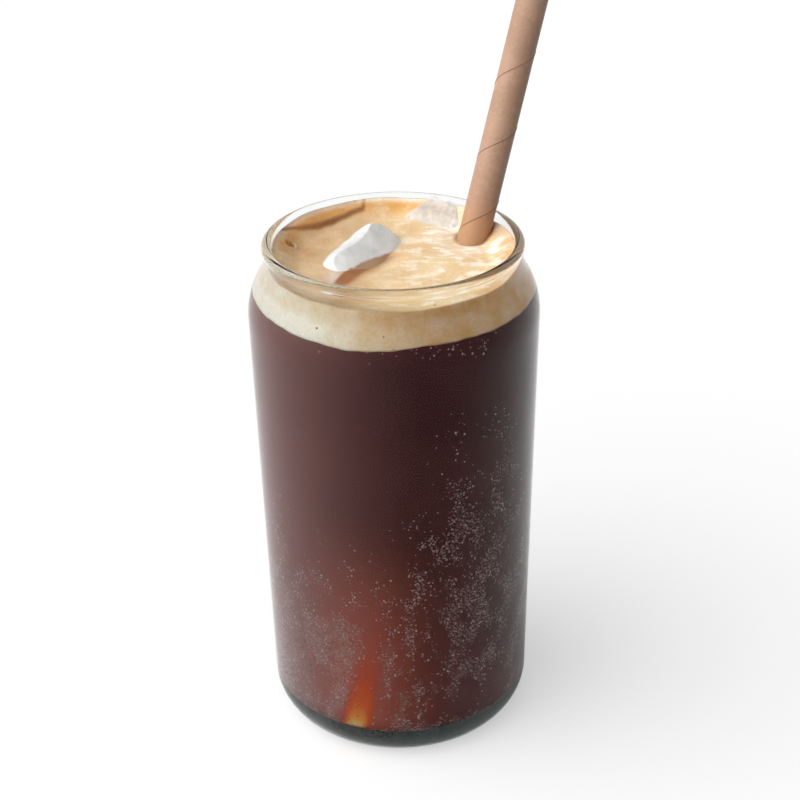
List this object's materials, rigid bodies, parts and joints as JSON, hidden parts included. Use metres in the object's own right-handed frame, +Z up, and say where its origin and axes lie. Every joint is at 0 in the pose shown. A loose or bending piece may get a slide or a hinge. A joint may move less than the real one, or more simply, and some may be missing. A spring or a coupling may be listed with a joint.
{
  "type": "espresso tonic in a glass",
  "caption": "Iced espresso and tonic in a clear can-shaped glass, with tan foam, ice showing at the top and a leaning brown paper straw.",
  "frame": {"origin": "middle of the glass's foot, on the surface it stands on", "axes": "+Z up along the glass's axis; +X to the right and -Y towards the viewer, with the straw leaning to the back right"},
  "size_m": [0.0777, 0.074, 0.1935],
  "materials": {
    "clear_glass": "clear smooth soda glass",
    "coffee": "dark brown drink with fine bubbles",
    "foam": "tan coffee foam with paler cream streaks",
    "ice": "melting clear ice with cloudy streaks",
    "paper": "brown wound paper"
  },
  "bodies": {
    "root": {"glass": "clear_glass", "drink": "coffee", "foam": "foam", "front_ice": "ice", "back_ice": "ice", "straw": "paper"}
  },
  "joints": []
}
